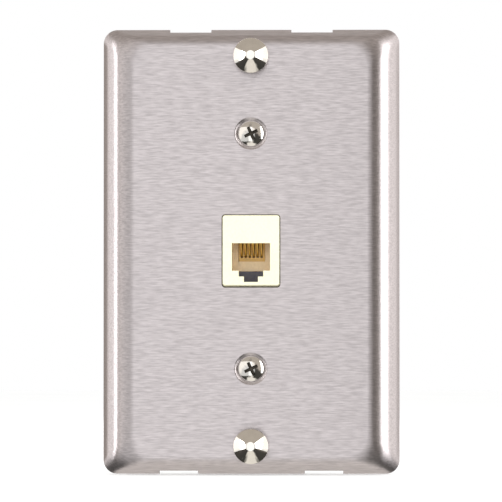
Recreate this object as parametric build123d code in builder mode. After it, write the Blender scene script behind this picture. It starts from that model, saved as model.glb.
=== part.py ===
"""Wall telephone jack plate: a formed stainless plate with two hanging studs and one six-position jack.

Millimetres. The plate faces -Y, +X is to its right and +Z is up. The wall is the plane y = 0 and the origin
is the middle of the plate on that plane. Sizes called "..._out" are distances forward of the wall, along
-Y, so what stands behind the wall has a negative one.
"""

from build123d import *
from math import cos, radians, sin, tan
import os

os.makedirs("parts", exist_ok=True)

# ---- face plate -------------------------------------------------------------------------------------
plate_width = 76.2
plate_height = 114.3
plate_out = 5.6
plate_sheet = 0.9
plate_corner_radius = 3.6
side_roll_radius = 9.0
side_roll_angle = 60.0
end_bend_radius = 3.5
end_slope_angle = 65.0
notch_depth = 1.7
notch_reach = 12.0
top_notch_inner = 10.3
top_notch_outer = 20.9
bottom_notch_inner = 13.7
bottom_notch_outer = 23.6

# ---- hanging studs ----------------------------------------------------------------------------------
stud_spacing = 100.0
stud_head_radius = 4.5
stud_head_rim = 0.5
stud_head_height = 3.0
stud_tip_radius = 1.2
stud_neck_radius = 2.4
stud_neck_length = 2.5
stud_tail_radius = 1.5
stud_clinch_radius = 2.4
stud_clinch_height = 0.7
stud_clinch_top_radius = 1.4

# ---- screws -----------------------------------------------------------------------------------------
screw_radius = 1.75
tapped_clearance = 0.05
plate_screw_spacing = 60.325
plate_screw_head_radius = 3.325
plate_screw_dome = 0.95
plate_screw_land = 0.15
plate_screw_length = 12.7
seat_gap = 0.02
dimple_mouth_radius = 4.05
dimple_throat_clearance = 0.35
countersink_angle = 82.0
cross_recess_angle = 25.0
cross_recess_width = 0.85
cross_recess_span = 3.7
cross_recess_depth = 1.3
cross_recess_taper = 8.0
box_screw_spacing = 83.34
box_screw_head_radius = 3.2
box_screw_head_height = 1.9
box_screw_head_edge = 1.0
box_screw_length = 20.0
box_screw_neck_radius = 1.6
box_screw_neck_margin = 0.1
box_slot_length = 9.0
box_slot_clearance = 0.2

# ---- box mounting strap ------------------------------------------------------------------------------
strap_width = 48.0
strap_height = 93.0
strap_sheet = 1.6
strap_corner_radius = 5.0
block_passage_side = 1.5
block_passage_end = 3.5
strap_window_radius = 3.0
wall_hole_radius = 2.0
wall_hole_inset = 6.0

# ---- jack bracket behind the plate -------------------------------------------------------------------
bracket_sheet = 0.8
bracket_rim = 2.6
bracket_rail = 4.95
bracket_end_margin = 0.9
bracket_corner_radius = 2.5
step_clearance = 0.8
dimple_hole_clearance = 0.7

# ---- jack housing -----------------------------------------------------------------------------------
jack_width = 14.7
jack_height = 18.3
jack_proud = 1.0
jack_corner_radius = 0.65
jack_edge_radius = 0.25
jack_depth = 15.6
window_clearance = 0.2
flange_overlap = 2.2
flange_thickness = 1.2
plug_width = 9.8
plug_height = 7.05
plug_depth = 9.8
key_wide_width = 6.3
key_wide_height = 1.5
key_narrow_width = 3.6
key_narrow_height = 1.4
floor_thickness = 1.2
front_wall = 1.5
latch_pocket_side = 0.15

# ---- contacts and their carrier ----------------------------------------------------------------------
contact_count = 6
contact_pitch = 1.02
wire_radius = 0.22
bend_radius = 0.75
bend_rise = 0.6
bend_setback = 2.6
spring_slope = 19.5
leg_tail = 2.0
channel_margin = 0.9
channel_height = 2.6
carrier_clearance = 0.05
carrier_setback = 4.2
nose_half_thickness = 0.45
comb_setback = 0.2
comb_depth = 3.0
comb_engagement = 0.8
comb_side_clearance = 0.08
comb_bar_top = 3.5
comb_bar_bottom = 4.5

# ---- terminal block ---------------------------------------------------------------------------------
block_width = 36.0
block_height = 28.0
block_thickness = 6.0
block_corner_radius = 2.0
tongue_length = 7.5
tongue_clearance = 0.05
lead_window_clearance = 0.42
terminal_column = 13.5
terminal_row_pitch = 9.0
terminal_plate_width = 7.6
terminal_plate_height = 6.6
terminal_plate_sheet = 0.8
terminal_screw_radius = 1.45
terminal_head_radius = 2.9
terminal_head_height = 1.6
terminal_head_edge = 0.5
terminal_screw_length = 5.0
terminal_hole_depth = 5.2
barrier_thickness = 1.2
barrier_height = 2.4
barrier_inner = 9.2
block_screw_row = -4.5
block_screw_radius = 0.7
block_screw_head_radius = 1.5
block_screw_head_height = 0.9
block_screw_grip = 5.0
block_screw_slot = 0.4
slot_width = 0.7
slot_depth = 0.7

# ---- leads, ferrules and lugs ------------------------------------------------------------------------
lead_gap = 0.1
ferrule_gap = 0.04
ferrule_length = 1.8
ferrule_grip = 1.4
lead_loop = 0.8
lead_bend_radius = 1.5
lead_insert = 1.5
lead_drop_column = 3.4
lug_sheet = 0.7
lug_ring_radius = 3.0
lug_hole_radius = 1.6
lug_neck_width = 2.4
lug_neck_overlap = 0.6
lug_barrel_radius = 0.95
lug_barrel_near = 4.4
lug_barrel_far = 8.0

# ---- sizes that follow from the ones above -----------------------------------------------------------
half_width = plate_width / 2
half_height = plate_height / 2
plate_inside = plate_out - plate_sheet
end_bend_setback = end_bend_radius * tan(radians(end_slope_angle / 2))
face_end = half_height - plate_out / tan(radians(end_slope_angle)) - end_bend_setback
dimple_half_angle = radians(countersink_angle / 2)
dimple_throat_radius = screw_radius + dimple_throat_clearance
dimple_reach = plate_sheet / cos(dimple_half_angle)
jack_front_out = plate_out + jack_proud
jack_rear_out = jack_front_out - jack_depth
flange_rear_out = plate_inside - flange_thickness
ceiling = -jack_height / 2 + floor_thickness + key_narrow_height + key_wide_height + plug_height
floor = ceiling - plug_height
plug_stop_out = jack_front_out - plug_depth
latch_bottom = floor - key_wide_height - key_narrow_height
bend_out = jack_front_out - bend_setback
bend_height = ceiling + bend_rise
leg_height = bend_height + bend_radius
leg_rear_out = jack_rear_out - leg_tail
channel_width = contact_pitch * (contact_count - 1) + 2 * channel_margin
comb_front_out = plug_stop_out - comb_setback
comb_rear_out = comb_front_out - comb_depth
carrier_front_out = jack_front_out - carrier_setback
tongue_front_out = jack_rear_out + tongue_length
block_screw_column = (jack_width + plug_width) / 4
lead_radius = (contact_pitch - lead_gap) / 2
ferrule_radius = (contact_pitch - ferrule_gap) / 2
ferrule_front_out = leg_rear_out + ferrule_grip
block_rear_out = jack_rear_out - block_thickness
terminal_face_out = block_rear_out - terminal_plate_sheet
lug_face_out = terminal_face_out - lug_sheet
lead_turn_out = lug_face_out - lead_loop
contact_places = [contact_pitch * (n - (contact_count - 1) / 2) for n in range(contact_count)]
terminal_rows = [terminal_row_pitch, 0.0, -terminal_row_pitch]
# contact 1 is at the left: contacts 1 to 3 go to the left column and 4 to 6 to the right one,
# the outer contact of each three to the top row
terminal_places = [(-terminal_column, z) for z in terminal_rows]
terminal_places += [(terminal_column, z) for z in reversed(terminal_rows)]


def facing(out):
    """The plane parallel to the wall at this distance forward of it, facing forward."""
    return Plane.XZ.offset(out)


def turning(x, z):
    """The plane for a turned profile about the axis through (x, z): x is the radius, y is forward."""
    return Plane(origin=(x, 0, z), x_dir=(1, 0, 0), z_dir=(0, 0, -1))


def turning_axis(x, z):
    return Axis((x, 0, z), (0, -1, 0))


def edgewise(x):
    """The plane across the object at this x: its x runs back from the wall plane, its y runs up."""
    return Plane.YZ.offset(x)


def upright(x):
    """The plane across the object at this x: its x runs up, its y runs forward."""
    return Plane(origin=(x, 0, 0), x_dir=(0, 0, 1), z_dir=(1, 0, 0))


def flange_outline(rim, out, angle, radius):
    """Half of a dish's section: wall plane, sloped flange, bend and flat front, closed at the middle."""
    slope = radians(angle)
    setback = radius * tan(slope / 2)
    corner = rim - out / tan(slope)
    Line((0, 0), (rim, 0))
    Line((rim, 0), (corner + setback * cos(slope), out - setback * sin(slope)))
    RadiusArc(
        (corner + setback * cos(slope), out - setback * sin(slope)),
        (corner - setback, out),
        -radius,
    )
    Line((corner - setback, out), (0, out))
    Line((0, out), (0, 0))


def dish(inset):
    """The plate's outer form, or with an inset the hollow behind it."""
    out = plate_out - inset
    side_rim = half_width - inset / sin(radians(side_roll_angle))
    end_rim = half_height - inset / sin(radians(end_slope_angle))
    with BuildPart(mode=Mode.PRIVATE) as form:
        with BuildSketch(Plane(origin=(0, 0, -half_height), x_dir=(1, 0, 0), z_dir=(0, 0, -1))):
            with BuildLine():
                flange_outline(side_rim, out, side_roll_angle, side_roll_radius - inset)
            make_face()
            mirror(about=Plane.YZ)
        extrude(amount=-plate_height)
        with BuildSketch(upright(-half_width)):
            with BuildLine():
                flange_outline(end_rim, out, end_slope_angle, end_bend_radius - inset)
            make_face()
            mirror(about=Plane.YZ)
        extrude(amount=plate_width, mode=Mode.INTERSECT)
        with BuildSketch(facing(0)):
            RectangleRounded(2 * side_rim, 2 * end_rim, plate_corner_radius - inset)
        extrude(amount=out, mode=Mode.INTERSECT)
    return form.part


def notch_places(inner, outer, height):
    """Middles of the pair of rim notches at one end of the plate."""
    middle = (inner + outer) / 2
    return [(-middle, height), (middle, height)]


# ---- face plate: one drawn sheet, open at the back, notched at both ends of its rim -------------------
plate_form = dish(0)
plate_hollow = dish(plate_sheet)
throat_out = plate_out - (dimple_mouth_radius - dimple_throat_radius) / tan(dimple_half_angle)
with BuildPart() as face_plate:
    add(plate_form)
    add(plate_hollow, mode=Mode.SUBTRACT)
    with BuildSketch(facing(0)):
        with Locations(*notch_places(top_notch_inner, top_notch_outer, half_height)):
            Rectangle(top_notch_outer - top_notch_inner, notch_reach)
        with Locations(*notch_places(bottom_notch_inner, bottom_notch_outer, -half_height)):
            Rectangle(bottom_notch_outer - bottom_notch_inner, notch_reach)
    extrude(amount=notch_depth, mode=Mode.SUBTRACT)
    with BuildSketch(facing(0)):
        RectangleRounded(
            jack_width + 2 * window_clearance,
            jack_height + 2 * window_clearance,
            jack_corner_radius + window_clearance,
        )
        with GridLocations(0, stud_spacing, 1, 2):
            Circle(stud_tail_radius)
        with GridLocations(0, plate_screw_spacing, 1, 2):
            Circle(dimple_mouth_radius)
    extrude(amount=plate_out, mode=Mode.SUBTRACT)
    for height in (-plate_screw_spacing / 2, plate_screw_spacing / 2):
        with BuildSketch(turning(0, height)):
            with BuildLine():
                Polyline(
                    (dimple_mouth_radius, plate_out),
                    (dimple_throat_radius, throat_out),
                    (
                        dimple_throat_radius + plate_sheet * cos(dimple_half_angle),
                        throat_out - plate_sheet * sin(dimple_half_angle),
                    ),
                    (
                        dimple_mouth_radius + dimple_reach - plate_sheet * tan(dimple_half_angle),
                        plate_inside,
                    ),
                    (dimple_mouth_radius + dimple_reach, plate_inside),
                    (dimple_mouth_radius + dimple_reach, plate_out),
                    close=True,
                )
            make_face()
        revolve(axis=turning_axis(0, height))
face_plate.part.label = "face_plate"
export_step(face_plate.part, "parts/face_plate.step")


# ---- hanging studs: shouldered rivets, clinched behind the bracket ------------------------------------
neck_front = plate_out + stud_neck_length
head_front = neck_front + stud_head_height
bracket_rear = plate_inside - bracket_sheet
stud_heights = {"upper_stud": stud_spacing / 2, "lower_stud": -stud_spacing / 2}
for name, height in stud_heights.items():
    with BuildPart() as stud:
        with BuildSketch(turning(0, height)):
            with BuildLine():
                Polyline(
                    (0, bracket_rear - stud_clinch_height),
                    (0, head_front),
                    (stud_tip_radius, head_front),
                    (stud_head_radius, neck_front + stud_head_rim),
                    (stud_head_radius, neck_front),
                    (stud_neck_radius, neck_front),
                    (stud_neck_radius, plate_out),
                    (stud_tail_radius, plate_out),
                    (stud_tail_radius, bracket_rear),
                    (stud_clinch_radius, bracket_rear),
                    (stud_clinch_top_radius, bracket_rear - stud_clinch_height),
                    close=True,
                )
            make_face()
        revolve(axis=turning_axis(0, height))
    stud.part.label = name
    export_step(stud.part, f"parts/{name}.step")


# ---- box mounting strap -------------------------------------------------------------------------------
with BuildPart() as mounting_strap:
    with BuildSketch(facing(0)):
        RectangleRounded(strap_width, strap_height, strap_corner_radius)
        RectangleRounded(
            block_width + 2 * block_passage_side,
            block_height + 2 * block_passage_end,
            strap_window_radius,
            mode=Mode.SUBTRACT,
        )
        with GridLocations(0, plate_screw_spacing, 1, 2):
            Circle(screw_radius + tapped_clearance, mode=Mode.SUBTRACT)
        with GridLocations(0, box_screw_spacing, 1, 2):
            SlotOverall(
                box_slot_length, 2 * (screw_radius + box_slot_clearance), mode=Mode.SUBTRACT
            )
        with GridLocations(
            strap_width - 2 * wall_hole_inset, strap_height - 2 * wall_hole_inset, 2, 2
        ):
            Circle(wall_hole_radius, mode=Mode.SUBTRACT)
    extrude(amount=strap_sheet)
mounting_strap.part.label = "mounting_strap"
export_step(mounting_strap.part, "parts/mounting_strap.step")


# ---- jack bracket: a stamped strip that the studs rivet to the plate, stepped back over the jack -------
step_top = jack_height / 2 + flange_overlap + step_clearance
step_end = step_top + flange_thickness
dimple_hole_radius = dimple_mouth_radius + dimple_reach + dimple_hole_clearance
bracket_end_width = 2 * (dimple_hole_radius + bracket_rim)
bracket_middle_width = jack_width + 2 * (window_clearance + bracket_rail)
bracket_end = min(stud_spacing / 2 + stud_tail_radius + bracket_end_margin, face_end)
with BuildPart() as jack_bracket:
    with BuildSketch(upright(-bracket_middle_width / 2)):
        with BuildLine():
            Polyline(
                (0, flange_rear_out),
                (step_top, flange_rear_out),
                (step_end, plate_inside),
                (half_height, plate_inside),
                (half_height, bracket_rear),
                (step_end + bracket_sheet / 2, bracket_rear),
                (step_top + bracket_sheet / 2, flange_rear_out - bracket_sheet),
                (0, flange_rear_out - bracket_sheet),
                close=True,
            )
        make_face()
        mirror(about=Plane.YZ)
    extrude(amount=bracket_middle_width)
    with BuildSketch(facing(0)):
        RectangleRounded(bracket_end_width, 2 * bracket_end, bracket_corner_radius)
        RectangleRounded(
            bracket_middle_width, 2 * (step_end + bracket_corner_radius), bracket_corner_radius
        )
    extrude(amount=plate_out, mode=Mode.INTERSECT)
    with BuildSketch(facing(0)):
        RectangleRounded(
            jack_width + 2 * window_clearance,
            jack_height + 2 * window_clearance,
            jack_corner_radius + window_clearance,
        )
        with GridLocations(0, stud_spacing, 1, 2):
            Circle(stud_tail_radius)
        with GridLocations(0, plate_screw_spacing, 1, 2):
            Circle(dimple_hole_radius)
    extrude(amount=plate_out, mode=Mode.SUBTRACT)
jack_bracket.part.label = "jack_bracket"
export_step(jack_bracket.part, "parts/jack_bracket.step")


# ---- jack housing: ivory shell, open at the front for the plug and at the back for its inserts --------
pocket_width = key_wide_width + 2 * latch_pocket_side
block_screw_places = [(-block_screw_column, block_screw_row), (block_screw_column, block_screw_row)]
with BuildPart() as jack_housing:
    with BuildSketch(facing(jack_rear_out)):
        RectangleRounded(jack_width, jack_height, jack_corner_radius)
    extrude(amount=jack_front_out - jack_rear_out)
    fillet(jack_housing.faces().sort_by(Axis.Y)[0].edges(), jack_edge_radius)
    with BuildSketch(facing(flange_rear_out)):
        RectangleRounded(
            jack_width + 2 * flange_overlap,
            jack_height + 2 * flange_overlap,
            jack_corner_radius + flange_overlap / 2,
        )
    extrude(amount=flange_thickness)
    with BuildSketch(facing(plug_stop_out)):
        with Locations((0, (ceiling + floor) / 2)):
            Rectangle(plug_width, plug_height)
    extrude(amount=plug_depth, mode=Mode.SUBTRACT)
    with BuildSketch(facing(jack_front_out - front_wall)):
        with Locations((0, floor - key_wide_height / 2)):
            Rectangle(key_wide_width, key_wide_height)
        with Locations((0, (floor + latch_bottom) / 2)):
            Rectangle(key_narrow_width, floor - latch_bottom)
    extrude(amount=front_wall, mode=Mode.SUBTRACT)
    with BuildSketch(facing(jack_rear_out)):
        with Locations((0, (floor + latch_bottom) / 2)):
            Rectangle(pocket_width, floor - latch_bottom)
        with Locations((0, ceiling + channel_height / 2)):
            Rectangle(channel_width, channel_height)
    extrude(amount=jack_front_out - front_wall - jack_rear_out, mode=Mode.SUBTRACT)
    with BuildSketch(facing(jack_rear_out)):
        with Locations((0, ceiling - comb_bar_bottom / 2)):
            Rectangle(channel_width, comb_bar_bottom)
    extrude(amount=plug_stop_out - jack_rear_out, mode=Mode.SUBTRACT)
    with BuildSketch(facing(jack_rear_out)):
        with Locations(*block_screw_places):
            Circle(block_screw_radius)
    extrude(amount=block_screw_grip, mode=Mode.SUBTRACT)
jack_housing.part.label = "jack_housing"
export_step(jack_housing.part, "parts/jack_housing.step")


# ---- contact carrier: nose that the wires bend around, holes for their legs, comb for their ends ------
carrier_width = channel_width - 2 * carrier_clearance
nose_bottom = bend_height - nose_half_thickness
nose_top = bend_height + nose_half_thickness
comb_slot = 2 * (wire_radius + comb_side_clearance)
with BuildPart() as contact_carrier:
    with BuildSketch(edgewise(-carrier_width / 2)):
        with BuildLine():
            CenterArc((-bend_out, bend_height), nose_half_thickness, 90, 180)
            Polyline(
                (-bend_out, nose_bottom),
                (-jack_rear_out, nose_bottom),
                (-jack_rear_out, ceiling + channel_height),
                (-carrier_front_out, ceiling + channel_height),
                (-carrier_front_out, nose_top),
                (-bend_out, nose_top),
            )
        make_face()
    extrude(amount=carrier_width)
    with BuildSketch(facing(comb_rear_out)):
        with Locations((0, (nose_bottom + ceiling - comb_bar_bottom) / 2)):
            Rectangle(carrier_width, nose_bottom - ceiling + comb_bar_bottom)
        with Locations(*[(x, (nose_bottom + ceiling - comb_bar_top) / 2) for x in contact_places]):
            Rectangle(comb_slot, nose_bottom - ceiling + comb_bar_top, mode=Mode.SUBTRACT)
    extrude(amount=comb_front_out - comb_rear_out)
    with BuildSketch(facing(jack_rear_out)):
        with Locations(*[(x, leg_height) for x in contact_places]):
            Circle(wire_radius)
    extrude(amount=carrier_front_out - jack_rear_out, mode=Mode.SUBTRACT)
contact_carrier.part.label = "contact_carrier"
export_step(contact_carrier.part, "parts/contact_carrier.step")


# ---- contacts: the fixed legs with their front bends, and the spring arms that a plug lifts -----------
with BuildPart() as contact_legs:
    for x in contact_places:
        with BuildLine(edgewise(x)) as leg_route:
            Line((-leg_rear_out, leg_height), (-bend_out, leg_height))
            CenterArc((-bend_out, bend_height), bend_radius, 90, 180 - spring_slope)
        with BuildSketch(facing(leg_rear_out)):
            with Locations((x, leg_height)):
                Circle(wire_radius)
        sweep(path=leg_route.wires()[0])
contact_legs.part.label = "contact_legs"
export_step(contact_legs.part, "parts/contact_legs.step")

slope = radians(spring_slope)
spring_out = bend_out + bend_radius * sin(slope)
spring_height = bend_height - bend_radius * cos(slope)
spring_length = (spring_out - comb_front_out + comb_engagement) / cos(slope)
for number, x in enumerate(contact_places, start=1):
    bend_end = (x, -spring_out, spring_height)
    root = Plane(origin=bend_end, x_dir=(1, 0, 0), z_dir=(0, cos(slope), -sin(slope)))
    with BuildPart() as contact_spring:
        with BuildSketch(root):
            Circle(wire_radius)
        extrude(amount=spring_length)
    contact_spring.part.label = f"contact_spring_{number}"
    export_step(contact_spring.part, f"parts/contact_spring_{number}.step")


# ---- terminal block: dark base behind the jack, with a tongue that closes the latch pocket ------------
with BuildPart() as terminal_block:
    with BuildSketch(facing(block_rear_out)):
        RectangleRounded(block_width, block_height, block_corner_radius)
        with Locations((0, leg_height)):
            Rectangle(
                channel_width,
                2 * (ferrule_radius + lead_window_clearance),
                mode=Mode.SUBTRACT,
            )
        with Locations(*block_screw_places):
            Circle(block_screw_radius, mode=Mode.SUBTRACT)
    extrude(amount=block_thickness)
    with BuildSketch(facing(jack_rear_out)):
        with Locations((0, (floor + latch_bottom) / 2)):
            Rectangle(pocket_width - 2 * tongue_clearance, floor - latch_bottom - 2 * tongue_clearance)
    extrude(amount=tongue_front_out - jack_rear_out)
    with BuildSketch(facing(block_rear_out - barrier_height)):
        barrier_length = block_width / 2 - barrier_inner
        with GridLocations(block_width - barrier_length, terminal_row_pitch, 2, 2):
            Rectangle(barrier_length, barrier_thickness)
    extrude(amount=barrier_height)
    with BuildSketch(facing(block_rear_out)):
        with Locations(*terminal_places):
            Circle(terminal_screw_radius + tapped_clearance)
    extrude(amount=terminal_hole_depth, mode=Mode.SUBTRACT)
terminal_block.part.label = "terminal_block"
export_step(terminal_block.part, "parts/terminal_block.step")


# ---- screws that hold the terminal block to the housing -----------------------------------------------
with BuildPart() as block_screws:
    with BuildSketch(facing(block_rear_out)):
        with Locations(*block_screw_places):
            Circle(block_screw_radius)
    extrude(amount=block_thickness + block_screw_grip)
    with BuildSketch(facing(block_rear_out - block_screw_head_height)):
        with Locations(*block_screw_places):
            Circle(block_screw_head_radius)
    extrude(amount=block_screw_head_height)
    with BuildSketch(facing(block_rear_out - block_screw_head_height)):
        with Locations(*block_screw_places):
            Rectangle(3 * block_screw_head_radius, block_screw_slot)
    extrude(amount=block_screw_slot, mode=Mode.SUBTRACT)
block_screws.part.label = "block_screws"
export_step(block_screws.part, "parts/block_screws.step")


# ---- terminals: tapped plates, spade lugs and slotted screws ------------------------------------------
with BuildPart() as terminal_plates:
    with BuildSketch(facing(terminal_face_out)):
        with Locations(*terminal_places):
            Rectangle(terminal_plate_width, terminal_plate_height)
            Circle(terminal_screw_radius + tapped_clearance, mode=Mode.SUBTRACT)
    extrude(amount=terminal_plate_sheet)
terminal_plates.part.label = "terminal_plates"
export_step(terminal_plates.part, "parts/terminal_plates.step")

lug_middle_out = lug_face_out + lug_sheet / 2
with BuildPart() as spade_lugs:
    for x, z in terminal_places:
        inward = -1 if x > 0 else 1
        neck_end = x + inward * (lug_barrel_near + lug_neck_overlap)
        with BuildSketch(facing(lug_face_out)):
            with Locations((x, z)):
                Circle(lug_ring_radius)
            with Locations(((x + neck_end) / 2, z)):
                Rectangle(abs(neck_end - x), lug_neck_width)
            with Locations((x, z)):
                Circle(lug_hole_radius, mode=Mode.SUBTRACT)
            with Locations((x - inward * lug_ring_radius / 2, z)):
                Rectangle(lug_ring_radius, 2 * lug_hole_radius, mode=Mode.SUBTRACT)
        extrude(amount=lug_sheet)
        with BuildSketch(edgewise(x + inward * lug_barrel_near)):
            with Locations((-lug_middle_out, z)):
                Circle(lug_barrel_radius)
        extrude(amount=inward * (lug_barrel_far - lug_barrel_near))
        with BuildSketch(edgewise(x + inward * lug_barrel_far)):
            with Locations((-lug_middle_out, z)):
                Circle(lead_radius)
        extrude(amount=-inward * lead_insert, mode=Mode.SUBTRACT)
spade_lugs.part.label = "spade_lugs"
export_step(spade_lugs.part, "parts/spade_lugs.step")

for number, (x, z) in enumerate(terminal_places, start=1):
    with BuildPart() as terminal_screw:
        with BuildSketch(facing(lug_face_out)):
            with Locations((x, z)):
                Circle(terminal_screw_radius)
        extrude(amount=terminal_screw_length)
        with BuildSketch(facing(lug_face_out - terminal_head_height)):
            with Locations((x, z)):
                Circle(terminal_head_radius)
        extrude(amount=terminal_head_height)
        rear_face = terminal_screw.faces().sort_by(Axis.Y)[-1]
        fillet(rear_face.edges(), terminal_head_edge)
        with BuildSketch(facing(lug_face_out - terminal_head_height)):
            with Locations((x, z)):
                Rectangle(3 * terminal_head_radius, slot_width)
        extrude(amount=slot_depth, mode=Mode.SUBTRACT)
    terminal_screw.part.label = f"terminal_screw_{number}"
    export_step(terminal_screw.part, f"parts/terminal_screw_{number}.step")


# ---- crimp ferrules on the legs' tails, and the coloured leads from them to the lugs ------------------
ferrule_rear_out = ferrule_front_out - ferrule_length
with BuildPart() as crimp_ferrules:
    with BuildSketch(facing(ferrule_rear_out)):
        with Locations(*[(x, leg_height) for x in contact_places]):
            Circle(ferrule_radius)
    extrude(amount=ferrule_length)
    with BuildSketch(facing(leg_rear_out)):
        with Locations(*[(x, leg_height) for x in contact_places]):
            Circle(wire_radius)
    extrude(amount=ferrule_front_out - leg_rear_out, mode=Mode.SUBTRACT)
crimp_ferrules.part.label = "crimp_ferrules"
export_step(crimp_ferrules.part, "parts/crimp_ferrules.step")

for number, x in enumerate(contact_places, start=1):
    side = 1 if x > 0 else -1
    row = terminal_places[number - 1][1]
    lead_end = side * (terminal_column - lug_barrel_far + lead_insert)
    with BuildPart() as lead_wire:
        with BuildLine() as lead_route:
            FilletPolyline(
                (x, -ferrule_rear_out, leg_height),
                (x, -lead_turn_out, leg_height),
                (side * lead_drop_column, -lug_middle_out, row),
                (lead_end, -lug_middle_out, row),
                radius=lead_bend_radius,
            )
        with BuildSketch(facing(ferrule_rear_out)):
            with Locations((x, leg_height)):
                Circle(lead_radius)
        sweep(path=lead_route.wires()[0])
    lead_wire.part.label = f"lead_wire_{number}"
    export_step(lead_wire.part, f"parts/lead_wire_{number}.step")


# ---- plate screws: oval heads in the plate's dimples, shanks in the strap's tapped holes --------------
rim_out = plate_out - (dimple_mouth_radius - plate_screw_head_radius) / tan(dimple_half_angle) + seat_gap
cone_rear = rim_out - (plate_screw_head_radius - screw_radius) / tan(dimple_half_angle)
dome_start = rim_out + plate_screw_land
screw_heights = {
    "plate_screw_upper": plate_screw_spacing / 2,
    "plate_screw_lower": -plate_screw_spacing / 2,
}
for name, height in screw_heights.items():
    with BuildPart() as plate_screw:
        with BuildSketch(turning(0, height)):
            with BuildLine():
                Polyline(
                    (0, dome_start + plate_screw_dome),
                    (0, rim_out - plate_screw_length),
                    (screw_radius, rim_out - plate_screw_length),
                    (screw_radius, cone_rear),
                    (plate_screw_head_radius, rim_out),
                    (plate_screw_head_radius, dome_start),
                )
                RadiusArc(
                    (plate_screw_head_radius, dome_start),
                    (0, dome_start + plate_screw_dome),
                    -(plate_screw_head_radius**2 + plate_screw_dome**2) / (2 * plate_screw_dome),
                )
            make_face()
        revolve(axis=turning_axis(0, height))
        with BuildSketch(facing(dome_start + plate_screw_dome)):
            with Locations(Location((0, height), cross_recess_angle)):
                Rectangle(cross_recess_span, cross_recess_width)
                Rectangle(cross_recess_width, cross_recess_span)
        extrude(amount=-cross_recess_depth, taper=cross_recess_taper, mode=Mode.SUBTRACT)
    plate_screw.part.label = name
    export_step(plate_screw.part, f"parts/{name}.step")


# ---- box screws: slotted round heads on the strap, shanks reaching back into the box ------------------
box_heights = {"box_screw_upper": box_screw_spacing / 2, "box_screw_lower": -box_screw_spacing / 2}
for name, height in box_heights.items():
    with BuildPart() as box_screw:
        with BuildSketch(facing(strap_sheet)):
            with Locations((0, height)):
                Circle(box_screw_head_radius)
        extrude(amount=box_screw_head_height)
        fillet(box_screw.faces().sort_by(Axis.Y)[0].edges(), box_screw_head_edge)
        with BuildSketch(facing(strap_sheet + box_screw_head_height)):
            with Locations((0, height)):
                Rectangle(3 * box_screw_head_radius, slot_width)
        extrude(amount=-slot_depth, mode=Mode.SUBTRACT)
        with BuildSketch(facing(strap_sheet)):
            with Locations((0, height)):
                Circle(box_screw_neck_radius)
        extrude(amount=-strap_sheet - box_screw_neck_margin)
        with BuildSketch(facing(-box_screw_neck_margin)):
            with Locations((0, height)):
                Circle(screw_radius)
        extrude(amount=strap_sheet + box_screw_neck_margin - box_screw_length)
    box_screw.part.label = name
    export_step(box_screw.part, f"parts/{name}.step")
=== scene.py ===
"""Looks for a wall telephone jack plate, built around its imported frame.

Everything is in metres. The plate faces -Y and the wall is the plane y = 0. A size called "..._out" is a
distance forward of the wall, along -Y.
"""

from math import atan2, copysign, cos, floor, pi, radians, sin, sqrt, tan

import bmesh
import bpy
from bpy.props import FloatProperty, FloatVectorProperty, IntProperty, PointerProperty
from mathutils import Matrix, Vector


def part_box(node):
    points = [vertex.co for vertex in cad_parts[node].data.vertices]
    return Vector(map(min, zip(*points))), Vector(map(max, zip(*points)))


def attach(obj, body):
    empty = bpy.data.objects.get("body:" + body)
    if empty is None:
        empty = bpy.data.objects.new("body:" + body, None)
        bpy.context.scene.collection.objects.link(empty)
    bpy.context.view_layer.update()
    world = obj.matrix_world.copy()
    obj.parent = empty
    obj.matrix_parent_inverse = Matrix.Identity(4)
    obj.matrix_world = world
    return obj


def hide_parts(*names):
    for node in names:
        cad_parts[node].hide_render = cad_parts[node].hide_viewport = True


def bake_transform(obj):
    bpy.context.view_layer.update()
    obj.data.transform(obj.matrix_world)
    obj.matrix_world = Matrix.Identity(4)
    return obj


bl_info = {
    "name": "Telephone jack plate",
    "version": (1, 0, 0),
    "blender": (4, 5, 0),
    "location": "View3D > Sidebar > Jack plate",
    "description": "Builds the visible pieces of a wall telephone jack plate around its CAD frame",
    "category": "Object",
}

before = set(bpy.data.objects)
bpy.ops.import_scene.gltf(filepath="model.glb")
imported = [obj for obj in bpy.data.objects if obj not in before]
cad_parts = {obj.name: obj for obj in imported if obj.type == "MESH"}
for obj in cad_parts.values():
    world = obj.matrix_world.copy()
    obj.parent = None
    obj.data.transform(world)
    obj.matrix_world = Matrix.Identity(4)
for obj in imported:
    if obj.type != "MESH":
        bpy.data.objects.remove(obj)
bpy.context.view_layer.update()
MM = 0.001
ROOT = "root"
TERMINALS = 6
HEAD_SEGMENTS = 72
OVAL_SEGMENTS = 108
LIP_STEPS = 5
WINDOW_CORNER_STEPS = 8
ROLL_TURNS = (0.0, 1.5, *(3.0 * k for k in range(1, 19)))  # degrees at which the plate's roll has a row
ROLL_END_TURNS = (57.5, 60.0)
DOME_STEPS = 14
SAME_PLACE = 1e-7  # points nearer than this are one point
FLAT_ENOUGH = radians(0.6)  # CAD faces that meet at less than this are made one
WELD = 1e-6  # how near the points of a CAD mesh are when they are welded
CUT_BEYOND = 0.3 * MM  # how far a cutter stands out of what it cuts
ON_FACE = 0.05 * MM  # how near a plane something is when it counts as being on it
THREAD_ROOT, THREAD_FLANK = 0.12, 0.72  # how a thread's wave is cut to flat roots and crests


def number(name, description, default, **settings):
    return FloatProperty(name=name, description=description, default=default, min=0.0, **settings)


def length(name, description, default):
    """A length, whose default is given in millimetres."""
    return number(name, description, default * MM, precision=5, subtype="DISTANCE", unit="LENGTH")


def turn(name, description, default):
    """An angle, whose default is given in degrees."""
    return FloatProperty(
        name=name, description=description, default=radians(default), subtype="ANGLE", unit="ROTATION"
    )


def share(name, description, default):
    return number(name, description, default, max=1.0, subtype="FACTOR")


def bright(name, description, default):
    return number(name, description, default, soft_max=10.0, subtype="FACTOR")


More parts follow.
